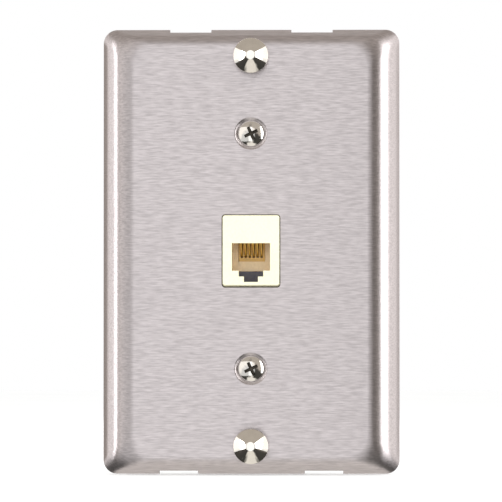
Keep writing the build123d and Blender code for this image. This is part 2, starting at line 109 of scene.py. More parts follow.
def colour(name, description, default):
    return FloatVectorProperty(
        name=name, description=description, default=default, size=3, min=0.0, max=1.0, subtype="COLOR"
    )


class PlateLooks(bpy.types.PropertyGroup):
    """Sizes and colours of the face plate."""

    sheet: length("Sheet", "Thickness of the plate's steel", 0.9)
    edge: length("Edge", "Rounding of the cut edges", 0.1)
    roll_radius: length("Side roll", "Radius of the rolled long sides", 9.0)
    roll_angle: turn("Side angle", "How far the long sides are rolled", 60.0)
    bend_radius: length("End bend", "Radius of the bend at each short end", 3.5)
    bend_angle: turn("End angle", "How far the short ends are bent", 65.0)
    rim_corner: length("Rim corner", "Corner radius of the rim", 3.6)
    face_corner: length("Face corner", "Corner radius where the flat face ends", 5.4)
    notch_depth: length("Notch depth", "How far the rim notches reach forward of the wall", 1.7)
    top_notch_inner: length("Top notch, inner side", "From the middle to the near side", 10.3)
    top_notch_outer: length("Top notch, outer side", "From the middle to the far side", 20.9)
    bottom_notch_inner: length("Bottom notch, inner side", "From the middle to the near side", 13.7)
    bottom_notch_outer: length("Bottom notch, outer side", "From the middle to the far side", 23.6)
    dimple_mouth: length("Dimple mouth", "Radius of a screw dimple at the face", 4.05)
    dimple_throat: length("Dimple throat", "Radius of the hole in a screw dimple", 2.1)
    dimple_lip: length("Dimple lip", "Rounding where a dimple leaves the face", 0.55)
    countersink: turn("Countersink", "Full angle of a dimple's cone", 82.0)
    window_width: length("Window width", "Width of the jack window", 15.0)
    window_height: length("Window height", "Height of the jack window", 18.7)
    window_corner: length("Window corner", "Corner radius of the jack window", 0.85)
    steel: colour("Steel", "Colour of the brushed steel", (0.575, 0.535, 0.545))
    roughness: share("Roughness", "Roughness of the brushed steel", 0.34)
    brushing: share("Brushing", "How strongly the brushing stretches reflections", 0.8)


class StudLooks(bpy.types.PropertyGroup):
    """Sizes and colours of the two hanging studs."""

    head_radius: length("Head radius", "Radius of a stud's head", 4.5)
    rim: length("Head rim", "Height of the head's straight rim", 0.5)
    head_height: length("Head height", "From under the head to its tip", 3.0)
    tip_radius: length("Tip radius", "Radius of the flat tip", 1.2)
    neck_radius: length("Neck radius", "Radius of the neck", 2.4)
    tail_radius: length("Tail radius", "Radius of the riveted tail", 1.5)
    clinch_top: length("Clinch top", "Radius of the clinched end's top", 1.4)
    edge: length("Edge", "Rounding of the turned edges", 0.16)
    nickel: colour("Nickel", "Colour of the bright nickel", (0.83, 0.80, 0.745))


class ScrewLooks(bpy.types.PropertyGroup):
    """Sizes and colours of the plate screws, box screws and terminal screws."""

    shank_radius: length("Shank radius", "Outer radius of the plate and box screws' threads", 1.75)
    thread_pitch: length("Thread pitch", "Pitch of the plate and box screws", 0.794)
    thread_depth: length("Thread depth", "Depth of the plate and box screws' threads", 0.4)
    head_radius: length("Head radius", "Radius of a plate screw's head", 3.325)
    dome: length("Dome", "Height of a plate screw's dome", 0.95)
    land: length("Land", "Height of the straight edge under the dome", 0.15)
    recess_width: length("Recess width", "Width of the cross recess's arms", 0.85)
    recess_span: length("Recess span", "Length of the cross recess's arms, tip to tip", 3.7)
    recess_depth: length("Recess depth", "Depth of the cross recess", 1.3)
    recess_taper: turn("Recess taper", "How far the recess's sides lean in", 8.0)
    recess_turn: turn("Recess turn", "How far the recess is turned from upright", 25.0)
    box_head_edge: length("Box screw edge", "Rounding of a box screw's head", 1.0)
    terminal_radius: length("Terminal screw", "Outer radius of a terminal screw's thread", 1.45)
    terminal_pitch: length("Terminal pitch", "Pitch of a terminal screw", 0.6)
    terminal_depth: length("Terminal thread depth", "Depth of a terminal screw's thread", 0.3)
    terminal_head_height: length("Terminal head height", "Height of a terminal screw's head", 1.6)
    terminal_head_edge: length("Terminal head edge", "Rounding of a terminal screw's head", 0.5)
    slot_width: length("Slot width", "Width of a slotted head's slot", 0.7)
    slot_depth: length("Slot depth", "Depth of a slotted head's slot", 0.7)
    nickel: colour("Nickel", "Colour of the plate screws", (0.84, 0.82, 0.78))
    shade: colour("Recess shade", "Colour inside the cross recess", (0.10, 0.09, 0.075))
    zinc: colour("Zinc", "Colour of the box screws", (0.70, 0.70, 0.67))
    steel: colour("Steel", "Colour of the terminal screws", (0.74, 0.72, 0.68))


class JackLooks(bpy.types.PropertyGroup):
    """Sizes and colours of the jack, its contacts and what is behind it."""

    edge: length("Edge", "Rounding of the moulded edges", 0.07)
    count: IntProperty(name="Contacts", description="Number of contact wires", default=6, min=2, max=8)
    wire_radius: length("Wire radius", "Radius of a contact wire", 0.22)
    bend_out: length("Bend", "How far forward of the wall the wires' bends are centred", 4.0)
    bend_radius: length("Bend radius", "Radius of the wires' bends", 0.75)
    slope: turn("Slope", "How far the springs slope down towards the back", 19.5)
    plug_width: length("Plug width", "Width of the opening for the plug", 9.8)
    plug_top: length("Plug top", "Height of the opening's top", 2.0)
    plug_drop: length("Plug floor", "How far the opening's floor is below the middle", 5.06)
    liner_setback: length("Liner setback", "How far behind the housing's front the lining starts", 0.35)
    plug_stop: length("Plug stop", "How far behind the wall the opening's lining ends", 3.6)
    lip_corner: length("Lip corner", "Corner radius of the housing's front", 0.9)
    lip_trim: length("Lip trim", "How much is taken off each side of the housing's front", 0.1)
    lip_lift: length("Lip lift", "How much is taken off the foot of the housing's front", 0.35)
    ivory: colour("Ivory", "Colour of the housing", (0.87, 0.84, 0.60))
    liner: colour("Liner", "Colour inside the opening", (0.92, 0.76, 0.52))
    # painted shade: a near-black colour for the housing's rim faces just behind the plate, standing in for
    # the shade in the gap round the jack
    painted_rim_shade: colour("Shaded rim", "Colour of the rim behind the plate", (0.02, 0.015, 0.012))
    amber: colour("Amber", "Colour of the contact carrier", (0.76, 0.50, 0.15))
    gold: colour("Gold", "Colour of the contact wires", (1.0, 0.80, 0.32))
    block: colour("Block", "Colour of the terminal block", (0.075, 0.077, 0.115))
    brass: colour("Brass", "Colour of the terminal plates", (0.76, 0.58, 0.29))
    tin: colour("Tin", "Colour of the lugs and ferrules", (0.74, 0.73, 0.70))
    strap_edge: length("Strap edge", "Rounding of the strap's edges", 0.14)
    bracket_edge: length("Bracket edge", "Rounding of the bracket's edges", 0.1)
    zinc: colour("Zinc", "Colour of the strap and bracket", (0.64, 0.65, 0.66))


class StageLooks(bpy.types.PropertyGroup):
    """The floor, the lights and the camera."""

    distance: length("Distance", "From the camera to the middle of the face", 1200.0)
    view_height: length("View height", "Height of what the camera sees at the face", 128.6)
    azimuth: turn("Azimuth", "How far the camera stands to the right", 1.2)
    elevation: turn("Elevation", "How far the camera stands above the middle", -1.5)
    floor: colour("Floor", "Colour of the floor", (0.99, 0.99, 0.985))
    key: bright("Key light", "Brightness of the right soft light", 3.2)
    front: bright("Front light", "Brightness of the front soft light", 0.67)
    core: bright("Core light", "Brightness of the light behind the camera", 0.57)
    fill: bright("Fill light", "Brightness of the far right light", 0.85)
    side: bright("Side light", "Brightness of the left soft light", 0.9)
    strip: bright("Strip light", "Brightness of the left strip light", 6.0)
    rear: bright("Rear light", "Brightness of the light above the back", 1.3)
    room: bright("Room", "Brightness of the room around", 1.0)


# ---- finishes ----------------------------------------------------------------------------------------
def wire_up(tree, kind, place, **values):
    """A node of this kind, with its own settings and its inputs' values."""
    node = tree.nodes.new(kind)
    node.location = place
    for key, value in values.items():
        if hasattr(node, key):
            setattr(node, key, value)
        else:
            node.inputs[key.replace("_", " ")].default_value = value
    return node


def grain(tree, scale, stretch=(1.0, 1.0, 1.0), detail=3.0, row=0):
    """Noise in the piece's own coordinates, with this many grains to the millimetre, stretched."""
    place = wire_up(tree, "ShaderNodeTexCoord", (-1100, -260 * row))
    spread = wire_up(tree, "ShaderNodeMapping", (-920, -260 * row))
    spread.inputs["Scale"].default_value = [scale / (MM * s) for s in stretch]
    noise = wire_up(tree, "ShaderNodeTexNoise", (-740, -260 * row), Scale=1.0, Detail=detail)
    tree.links.new(place.outputs["Object"], spread.inputs["Vector"])
    tree.links.new(spread.outputs["Vector"], noise.inputs["Vector"])
    return noise.outputs["Fac"]


def mapped(tree, factor, low, high, row=0):
    """The noise turned into a number from low to high."""
    reach = wire_up(tree, "ShaderNodeMapRange", (-520, -260 * row))
    for key, value in (("From Min", 0.3), ("From Max", 0.7), ("To Min", low), ("To Max", high)):
        reach.inputs[key].default_value = value
    tree.links.new(factor, reach.inputs["Value"])
    return reach.outputs["Result"]


def tinted(tree, factor, colours, row=0):
    """The noise turned into a blend from the first colour to the last."""
    ramp = wire_up(tree, "ShaderNodeValToRGB", (-520, -260 * row))
    ramp.color_ramp.elements[0].position = 0.32
    ramp.color_ramp.elements[1].position = 0.68
    for stop, shade in zip(ramp.color_ramp.elements, colours):
        stop.color = (*shade, 1.0)
    tree.links.new(factor, ramp.inputs["Fac"])
    return ramp.outputs["Color"]


def shades(base, spread):
    """A darker and a lighter shade of a colour."""
    return [[min(1.0, c * (1 + sign * spread)) for c in base] for sign in (-1, 1)]


def finish(name, base, spread, patches, roughness, wear, bump, **sockets):
    """A material: colour in patches, roughness that wanders, and a fine relief.

    patches is (grains to the millimetre, stretch), and bump has a depth in millimetres too; roughness is
    (low, high), and wear is how many patches of it there are to the millimetre.
    """
    material = bpy.data.materials.new(name)
    material.use_nodes = True
    tree = material.node_tree
    shader = tree.nodes["Principled BSDF"]
    for key, value in sockets.items():
        shader.inputs[key.replace("_", " ")].default_value = value
    scale, stretch = patches
    tone = grain(tree, scale, stretch, 4.0, 0)
    tree.links.new(tinted(tree, tone, shades(base, spread), 0), shader.inputs["Base Color"])
    haze = grain(tree, wear, stretch, 3.0, 1)
    tree.links.new(mapped(tree, haze, *roughness, 1), shader.inputs["Roughness"])
    fine, along, depth = bump
    relief = wire_up(tree, "ShaderNodeBump", (-280, -560), Strength=1.0, Distance=depth * MM)
    tree.links.new(grain(tree, fine, along, 2.0, 2), relief.inputs["Height"])
    tree.links.new(relief.outputs["Normal"], shader.inputs["Normal"])
    return material


EVEN = (1.0, 1.0, 1.0)


def brushed_steel(looks):
    """Stainless steel brushed from side to side."""
    patches, relief = (2.9, (9.0, 1.0, 1.0)), (8.0, (22.0, 1.0, 1.0), 0.002)
    haze = (looks.roughness - 0.05, looks.roughness + 0.06)
    sockets = {"Metallic": 1.0, "Anisotropic": looks.brushing}
    material = finish("brushed_stainless", looks.steel, 0.15, patches, haze, 5.0, relief, **sockets)
    tree = material.node_tree
    lay = wire_up(tree, "ShaderNodeTangent", (-280, -820), direction_type="UV_MAP", uv_map="brushing")
    tree.links.new(lay.outputs["Tangent"], tree.nodes["Principled BSDF"].inputs["Tangent"])
    return material


def bright_metal(name, base, low=0.05, high=0.13, relief=0.0006):
    return finish(name, base, 0.05, (0.35, EVEN), (low, high), 0.8, (1.3, EVEN, relief), Metallic=1.0)


def satin_metal(name, base, low=0.28, high=0.42):
    return finish(name, base, 0.09, (0.22, EVEN), (low, high), 0.9, (4.0, EVEN, 0.004), Metallic=1.0)


def plastic(name, base, low=0.24, high=0.36, spread=0.03, **sockets):
    return finish(name, base, spread, (0.12, EVEN), (low, high), 1.2, (5.0, EVEN, 0.0035), **sockets)


# ---- making pieces -----------------------------------------------------------------------------------
def at(x, out, z):
    """The point this far right, forward of the wall and up."""
    return Vector((x, -out, z))


def middle(node):
    """Middle of a CAD node's box."""
    low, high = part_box(node)
    return (low + high) / 2


def seat(bm, name, material, body, nodes, sharp=35.0, bevel=0.0):
    """Turns a built form into a piece that rides on a body and stands for these CAD nodes."""
    bmesh.ops.recalc_face_normals(bm, faces=bm.faces)
    for face in bm.faces:
        face.smooth = True
    mesh = bpy.data.meshes.new(name)
    bm.to_mesh(mesh)
    bm.free()
    mesh.set_sharp_from_angle(angle=radians(sharp))
    piece = bpy.data.objects.new(name, mesh)
    bpy.context.scene.collection.objects.link(piece)
    mesh.materials.append(material)
    if bevel:
        rounding = piece.modifiers.new("edges", "BEVEL")
        rounding.width = bevel
        rounding.segments = 2
        rounding.limit_method = "ANGLE"
        rounding.angle_limit = radians(sharp)
        rounding.harden_normals = True
    if body:
        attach(piece, body)
    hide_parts(*nodes)
    return piece


def from_frame(name, node, material, bevel, sharp=30.0):
    """A fixed piece with the form of a CAD node, its edges rounded a little."""
    bm = bmesh.new()
    bm.from_mesh(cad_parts[node].data)
    bmesh.ops.remove_doubles(bm, verts=bm.verts, dist=WELD)
    bmesh.ops.dissolve_limit(bm, angle_limit=FLAT_ENOUGH, verts=bm.verts, edges=bm.edges)
    return seat(bm, name, material, ROOT, [node], sharp, bevel)


def line_faces(piece, material, low, high):
    """Gives this material to the faces whose middles are between two corners."""
    piece.data.materials.append(material)
    for face in piece.data.polygons:
        if all(low[k] <= face.center[k] <= high[k] for k in range(3)):
            face.material_index = len(piece.data.materials) - 1


def ring_faces(bm, near, far):
    """Faces between two closed rows of points."""
    for k in range(len(near)):
        after = (k + 1) % len(near)
        bm.faces.new((near[k], near[after], far[after], far[k]))


def turned(bm, profile, x, z, segments=96):
    """A turned form about the axis through (x, z), from its front to its back; profile is (radius, out)."""
    rows = []
    for radius, out in profile:
        if radius == 0:
            rows.append([bm.verts.new(at(x, out, z))])
            continue
        rows.append(
            [
                bm.verts.new(at(x + radius * cos(a), out, z + radius * sin(a)))
                for a in (2 * pi * k / segments for k in range(segments))
            ]
        )
    for near, far in zip(rows, rows[1:]):
        if len(near) == 1 or len(far) == 1:
            point, row = (near[0], far) if len(near) == 1 else (far[0], near)
            for k in range(segments):
                bm.faces.new((point, row[k], row[(k + 1) % segments]))
        else:
            ring_faces(bm, near, far)
    return bm


def eased(profile, edge, steps=3):
    """The profile with its inner corners replaced by short curves."""
    points = [profile[0]]
    for before, corner, after in zip(profile, profile[1:], profile[2:]):
        here = Vector(corner)
        arms = [Vector(other) - here for other in (before, after)]
        reach = min(edge, *(0.45 * arm.length for arm in arms))
        start, end = (here + arm.normalized() * reach for arm in arms)
        for k in range(steps + 1):
            t = k / steps
            points.append(tuple(start * (1 - t) ** 2 + here * 2 * t * (1 - t) + end * t * t))
    points.append(profile[-1])
    return points


def threaded(bm, x, z, start_out, end_out, radius, depth, pitch, segments=36):
    """Adds a threaded shank with a chamfered tip at end_out, open at start_out."""
    span = abs(end_out - start_out)
    way = 1 if end_out > start_out else -1
    count = max(2, round(span / (pitch / 8)))
    rows = []
    for k in range(count + 1):
        s = span * k / count
        fade = min(1.0, s / pitch, (span - s) / pitch)
        tip = max(0.0, 1 - (span - s) / (1.2 * depth)) * 0.6 * depth
        row = []
        for n in range(segments):
            wave = s / pitch - n / segments
            crest = 1 - abs(2 * (wave - floor(wave)) - 1)
            crest = min(1.0, max(0.0, (crest - THREAD_ROOT) / THREAD_FLANK))
            reach = radius - depth * (1 - crest * fade) * min(1.0, 4 * s / pitch) - tip
            angle = -2 * pi * n / segments * way
            place = at(x + reach * cos(angle), start_out + way * s, z + reach * sin(angle))
            row.append(bm.verts.new(place))
        rows.append(row)
    for near, far in zip(rows, rows[1:]):
        ring_faces(bm, near, far)
    bm.faces.new(rows[-1])


def settled(piece, cutter):
    """Cuts the cutter out of the piece and throws the cutter away."""
    cut = piece.modifiers.new("cut", "BOOLEAN")
    cut.operation = "DIFFERENCE"
    cut.solver = "EXACT"
    cut.material_mode = "TRANSFER"
    cut.object = cutter
    bpy.context.view_layer.update()
    graph = bpy.context.evaluated_depsgraph_get()
    mesh = bpy.data.meshes.new_from_object(piece.evaluated_get(graph))
    piece.modifiers.remove(cut)
    old = piece.data
    name = old.name
    piece.data = mesh
    bpy.data.meshes.remove(old)
    mesh.name = name
    mesh.set_sharp_from_angle(angle=radians(30))
    bpy.data.objects.remove(cutter)


def block_form(bm, place, width, height, low, high, taper, angle):
    """A tapered bar across the axis through place, from out low to out high, widest at high."""
    lean = tan(taper) * (high - low)
    corners = []
    for out, shrink in ((low, lean), (high, 0.0)):
        for sx, sz in ((-1, -1), (1, -1), (1, 1), (-1, 1)):
            u, v = sx * (width / 2 - shrink), sz * (height / 2 - shrink)
            x = place.x + u * cos(angle) - v * sin(angle)
            z = place.z + u * sin(angle) + v * cos(angle)
            corners.append(bm.verts.new(at(x, out, z)))
    bm.faces.new(corners[3::-1])
    bm.faces.new(corners[4:])
    for k in range(4):
        bm.faces.new((corners[k], corners[(k + 1) % 4], corners[4 + (k + 1) % 4], corners[4 + k]))


def loose(bm, name, material):
    """A form as an object that belongs to nothing yet."""
    bmesh.ops.recalc_face_normals(bm, faces=bm.faces)
    mesh = bpy.data.meshes.new(name)
    bm.to_mesh(mesh)
    bm.free()
    mesh.materials.append(material)
    piece = bpy.data.objects.new(name, mesh)
    bpy.context.scene.collection.objects.link(piece)
    return piece


# ---- face plate --------------------------------------------------------------------------------------
def roll_reach(drop, radius, angle):
    """How far outside the flat face a bent edge is where it has dropped this far."""
    curved = radius * (1 - cos(angle))
    if drop <= curved:
        return sqrt(radius**2 - (radius - drop) ** 2)
    return radius * sin(angle) + (drop - curved) / tan(angle)


def level(half_x, half_z, corner, out, top_stops, bottom_stops, side_stops, steps=16):
    """Points of a rounded rectangle, anticlockwise as seen from the front, from its right side."""

    def arc(sx, sz, start):
        angles = [radians(start + 90 * k / steps) for k in range(steps + 1)]
        return [
            (sx * (half_x - corner) + corner * cos(a), sz * (half_z - corner) + corner * sin(a))
            for a in angles
        ]

    flat = [(half_x, z) for z in side_stops]
    flat += arc(1, 1, 0) + [(x, half_z) for x in reversed(top_stops)]
    flat += arc(-1, 1, 90) + [(-half_x, z) for z in reversed(side_stops)]
    flat += arc(-1, -1, 180) + [(x, -half_z) for x in bottom_stops] + arc(1, -1, 270)
    return [at(x, out, z) for x, z in flat]


class Sheet:
    """The front surface of a sheet while it is drawn, and where each of its points is on the back."""

    def __init__(self):
        self.bm = bmesh.new()
        self.backs = {}

    def put(self, front, back):
        vert = self.bm.verts.new(front)
        self.backs[vert] = back
        return vert

    def fill(self, loops):
        """Fills the flat face between closed loops of points, and turns it to the front."""
        edges = []
        for loop in loops:
            for a, b in zip(loop, loop[1:] + loop[:1]):
                edges.append(self.bm.edges.get((a, b)) or self.bm.edges.new((a, b)))
        bmesh.ops.triangle_fill(
            self.bm, use_beauty=True, use_dissolve=False, edges=edges, normal=(0, -1, 0)
        )
        bmesh.ops.recalc_face_normals(self.bm, faces=self.bm.faces)
        flat_face = max(self.bm.faces, key=lambda f: f.calc_area())
        if flat_face.normal.y > 0:
            bmesh.ops.reverse_faces(self.bm, faces=self.bm.faces)

    def thicken(self):
        """Adds the back and the cut edges between it and the front."""
        rim = [e for e in self.bm.edges if len(e.link_faces) == 1]
        twins = {vert: self.bm.verts.new(back) for vert, back in self.backs.items()}
        for face in list(self.bm.faces):
            self.bm.faces.new([twins[v] for v in reversed(face.verts)])
        for edge in rim:
            a, b = edge.verts
            self.bm.faces.new((a, b, twins[b], twins[a]))


def both_sides(*edges):
    """Stops along an edge: these on the left, the middle, and these on the right."""
    return [-e for e in reversed(edges)] + [0.0] + list(edges)


def bent_edges(sheet, looks, low, high):
    """Draws the plate's rolled sides, bent ends and notches, and gives the outline of its flat face."""
    plate_out, thick = -low.y, looks.sheet
    inside = plate_out - thick
    flat_x = high.x - roll_reach(plate_out, looks.roll_radius, looks.roll_angle)
    flat_z = high.z - roll_reach(plate_out, looks.bend_radius, looks.bend_angle)
    notch_drop = plate_out - looks.notch_depth
    notch_angle = degrees_of(notch_drop, looks.roll_radius)
    turns = [*ROLL_TURNS, notch_angle, *ROLL_END_TURNS]
    drops = [looks.roll_radius * (1 - cos(radians(a))) for a in turns]
    drops[turns.index(notch_angle)] = notch_drop
    drops.append(plate_out)
    sides = (
        both_sides(looks.top_notch_inner, looks.top_notch_outer),
        both_sides(looks.bottom_notch_inner, looks.bottom_notch_outer),
        [(flat_z - looks.face_corner - MM) * (k / 4 - 1) for k in range(9)],
    )
    rows = []
    for drop in drops:
        corner = looks.face_corner + (looks.rim_corner - looks.face_corner) * drop / plate_out
        back_drop = drop * (notch_drop - thick) / notch_drop if drop <= notch_drop else drop - thick
        fronts = level(
            flat_x + roll_reach(drop, looks.roll_radius, looks.roll_angle),
            flat_z + roll_reach(drop, looks.bend_radius, looks.bend_angle),
            corner,
            plate_out - drop,
            *sides,
        )
        rears = level(
            flat_x + roll_reach(back_drop, looks.roll_radius - thick, looks.roll_angle),
            flat_z + roll_reach(back_drop, looks.bend_radius - thick, looks.bend_angle),
            corner - thick * back_drop / inside,
            inside - back_drop,
            *sides,
        )
        rows.append([sheet.put(front, back) for front, back in zip(fronts, rears)])
    for upper, lower, drop in zip(rows, rows[1:], drops[1:]):
        for k in range(len(upper)):
            after = (k + 1) % len(upper)
            if drop > notch_drop + SAME_PLACE and in_notch(looks, upper[k].co, upper[after].co):
                continue
            sheet.bm.faces.new((upper[k], upper[after], lower[after], lower[k]))
    return rows[0]


def in_notch(looks, a, b):
    """Whether the line between two points of the rim is one that a notch takes away."""
    if a.z > 0:
        edges = (looks.top_notch_inner, looks.top_notch_outer)
    else:
        edges = (looks.bottom_notch_inner, looks.bottom_notch_outer)
    reach = sorted((abs(a.x), abs(b.x)))
    upright = abs(abs(a.z) - abs(b.z)) < SAME_PLACE and a.x * b.x > 0
    return upright and all(abs(r - e) < WELD for r, e in zip(reach, edges))


def dimple(sheet, looks, axis, plate_out):
    """Draws a countersunk dimple with a rounded lip, and gives the circle where it meets the face."""
    lean = pi / 2 - looks.countersink / 2
    setback = looks.dimple_lip * tan(lean / 2)
    profile = [(looks.dimple_mouth + 2 * setback, plate_out, 0.0)]
    for k in range(LIP_STEPS + 1):
        bend = lean * k / LIP_STEPS
        radius = looks.dimple_mouth + setback - looks.dimple_lip * sin(bend)
        profile.append((radius, plate_out - looks.dimple_lip * (1 - cos(bend)), bend))
    lip_radius, lip_out, _ = profile[-1]
    cone_run = lip_radius - looks.dimple_throat
    for t in (0.5, 1.0):
        profile.append((lip_radius - t * cone_run, lip_out - t * cone_run * tan(lean), lean))
    circles = []
    for radius, out, bend in profile:
        circle = []
        for k in range(HEAD_SEGMENTS):
            a = 2 * pi * k / HEAD_SEGMENTS
            front = at(axis.x + radius * cos(a), out, axis.z + radius * sin(a))
            wide = radius + looks.sheet * sin(bend)
            back_out = out - looks.sheet * cos(bend)
            back = at(axis.x + wide * cos(a), back_out, axis.z + wide * sin(a))
            circle.append(sheet.put(front, back))
        circles.append(circle)
    for near, far in zip(circles, circles[1:]):
        ring_faces(sheet.bm, near, far)
    return circles[0]


def face_plate_form(looks):
    """The formed steel sheet, with UVs whose U runs across the brushing."""
    low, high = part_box("face_plate")
    plate_out = -low.y
    sheet = Sheet()
    loops = [bent_edges(sheet, looks, low, high)]
    window = level(
        looks.window_width / 2,
        looks.window_height / 2,
        looks.window_corner,
        plate_out,
        *([0.0], [0.0], [0.0]),
        steps=WINDOW_CORNER_STEPS,
    )
    loops.append([sheet.put(point, point + Vector((0, looks.sheet, 0))) for point in window])
    for node in ("plate_screw_upper", "plate_screw_lower"):
        loops.append(dimple(sheet, looks, middle(node), plate_out))
    sheet.fill(loops)
    sheet.thicken()
    lay = sheet.bm.loops.layers.uv.new("brushing")
    for face in sheet.bm.faces:
        for corner in face.loops:
            corner[lay].uv = (corner.vert.co.z, corner.vert.co.x)
    return sheet.bm


def degrees_of(drop, radius):
    """The angle, in degrees, at which an arc of this radius has dropped this far."""
    return atan2(sqrt(radius**2 - (radius - drop) ** 2), radius - drop) * 180 / pi


class JACKPLATE_OT_face_plate(bpy.types.Operator):
    """Make the formed steel face plate"""

    bl_idname = "jack_plate.face_plate"
    bl_label = "Face plate"

    def execute(self, context):
        looks = context.scene.jack_plate_face
        form, steel = face_plate_form(looks), brushed_steel(looks)
        name, slot, node = "steel_face_plate", "brushed_stainless", "face_plate"
        seat(form, name, steel, ROOT, [node], sharp=38.0, bevel=looks.edge)
        return {"FINISHED"}


class JACKPLATE_OT_studs(bpy.types.Operator):
    """Turn the two studs that a telephone hangs on"""

    bl_idname = "jack_plate.studs"
    bl_label = "Hanging studs"

    def execute(self, context):
        looks = context.scene.jack_plate_studs
        nickel = bright_metal("bright_nickel_stud", looks.nickel, 0.045, 0.1, 0.0012)
        plate_out = -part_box("face_plate")[0].y
        for node in ("upper_stud", "lower_stud"):
            low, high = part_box(node)
            axis, tip, tail = middle(node), -low.y, -high.y
            under_head = tip - looks.head_height
            bracket_rear = tail + 0.7 * MM
            outline = [
                (0, tip),
                (looks.tip_radius, tip),
                (looks.head_radius, under_head + looks.rim),
                (looks.head_radius, under_head),
                (looks.neck_radius, under_head),
                (looks.neck_radius, plate_out),
                (looks.tail_radius, plate_out),
                (looks.tail_radius, bracket_rear),
                (looks.neck_radius, bracket_rear),
                (looks.clinch_top, tail),
                (0, tail),
            ]
            form = turned(bmesh.new(), eased(outline, looks.edge), axis.x, axis.z, 128)
            seat(form, f"turned_{node}", nickel, ROOT, [node], sharp=50.0)
        return {"FINISHED"}


class JACKPLATE_OT_plate_screws(bpy.types.Operator):
    """Make the two oval-head screws in the plate's dimples"""

    bl_idname = "jack_plate.plate_screws"
    bl_label = "Plate screws"

    def execute(self, context):
        looks = context.scene.jack_plate_screws
        nickel = bright_metal("bright_nickel_screw", looks.nickel, 0.05, 0.12, 0.001)
        shade = satin_metal("shaded_recess", looks.shade, 0.4, 0.6)
        cone = tan(context.scene.jack_plate_face.countersink / 2)
        for node in ("plate_screw_upper", "plate_screw_lower"):
            low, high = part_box(node)
            axis, top, tail = middle(node), -low.y, -high.y
            shoulder = top - looks.dome
            rim = shoulder - looks.land
            ball = (looks.head_radius**2 + looks.dome**2) / (2 * looks.dome)
            widest = atan2(looks.head_radius, ball - looks.dome)
            outline = [(0, top)]
            for k in range(1, DOME_STEPS + 1):
                a = widest * k / DOME_STEPS
                outline.append((ball * sin(a), top - ball * (1 - cos(a))))
            outline.append((looks.head_radius, rim))
            neck_out = rim - (looks.head_radius - looks.shank_radius) / cone
            outline.append((looks.shank_radius, neck_out))
            body = bmesh.new()
            turned(body, outline, axis.x, axis.z, OVAL_SEGMENTS)
            thread = (looks.shank_radius, looks.thread_depth, looks.thread_pitch)
            threaded(body, axis.x, axis.z, neck_out, tail, *thread)
            head_edge = [v for v in body.verts if abs(v.co.y + neck_out) < SAME_PLACE]
            bmesh.ops.remove_doubles(body, verts=head_edge, dist=SAME_PLACE)
            piece = seat(body, f"oval_{node}", nickel, None, [node], sharp=30.0)
            for arm in range(2):
                settled(piece, recess_arm(looks, axis, top, looks.recess_turn + arm * pi / 2, shade))
            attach(piece, node)
        return {"FINISHED"}


def recess_arm(looks, axis, top, angle, shade):
    """The form that one bar of a cross recess takes out of a screw's head."""
    form = bmesh.new()
    grow = 2 * tan(looks.recess_taper) * CUT_BEYOND
    sides = (looks.recess_span + grow, looks.recess_width + grow)
    depths = (top - looks.recess_depth, top + CUT_BEYOND)
    block_form(form, axis, *sides, *depths, looks.recess_taper, angle)
    return loose(form, "recess_cutter", shade)


def slotted_head(foot, top, radius, edge):
    """Outline of a round screw head with an eased top, from its top to its foot, as (radius, out)."""
    way = 1 if top > foot else -1
    outline = [(0, top)]
    for k in range(7):
        a = pi / 2 * k / 6
        outline.append((radius - edge + edge * sin(a), top - way * edge * (1 - cos(a))))
    outline.append((radius, foot))
    return outline


def slotted_screw(looks, node, material, slot, foot, edge, radius, depth, pitch):
    """A slotted screw that rides on its own body; its head is at the end nearer its foot."""
    low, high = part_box(node)
    axis, head = middle(node), (high.x - low.x) / 2
    front, rear = -low.y, -high.y
    top, tail = (front, rear) if front - foot < foot - rear else (rear, front)
    way = 1 if top > foot else -1
    body = bmesh.new()
    outline = slotted_head(foot, top, head, edge)
    outline.append((radius, foot))
    turned(body, outline, axis.x, axis.z, HEAD_SEGMENTS)
    threaded(body, axis.x, axis.z, foot, tail, radius, depth, pitch)
    joint = [v for v in body.verts if abs(v.co.y + foot) < SAME_PLACE]
    bmesh.ops.remove_doubles(body, verts=joint, dist=SAME_PLACE)
    piece = seat(body, f"slotted_{node}", material, None, [node], sharp=30.0)
    cutter = bmesh.new()
    ends = sorted((top - way * looks.slot_depth, top + way * CUT_BEYOND))
    block_form(cutter, axis, 3 * head, looks.slot_width, *ends, 0.0, 0.0)
    settled(piece, loose(cutter, "slot_cutter", material))
    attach(piece, node)


class JACKPLATE_OT_slotted_screws(bpy.types.Operator):
    """Make the box screws and the terminal screws"""

    bl_idname = "jack_plate.slotted_screws"
    bl_label = "Slotted screws"

    def execute(self, context):
        looks = context.scene.jack_plate_screws
        zinc = satin_metal("zinc_screw", looks.zinc, 0.22, 0.36)
        steel = satin_metal("plated_terminal_screw", looks.steel, 0.16, 0.3)
        strap_out = -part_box("mounting_strap")[0].y
        thread = (looks.shank_radius, looks.thread_depth, looks.thread_pitch)
        for end in ("upper", "lower"):
            node = f"box_screw_{end}"
            slotted_screw(looks, node, zinc, "zinc_screw", strap_out, looks.box_head_edge, *thread)
        thread = (looks.terminal_radius, looks.terminal_depth, looks.terminal_pitch)
        for n in range(1, TERMINALS + 1):
            node = f"terminal_screw_{n}"
            foot = looks.terminal_head_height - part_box(node)[1].y
            slotted_screw(looks, node, steel, "steel_screw", foot, looks.terminal_head_edge, *thread)
        return {"FINISHED"}


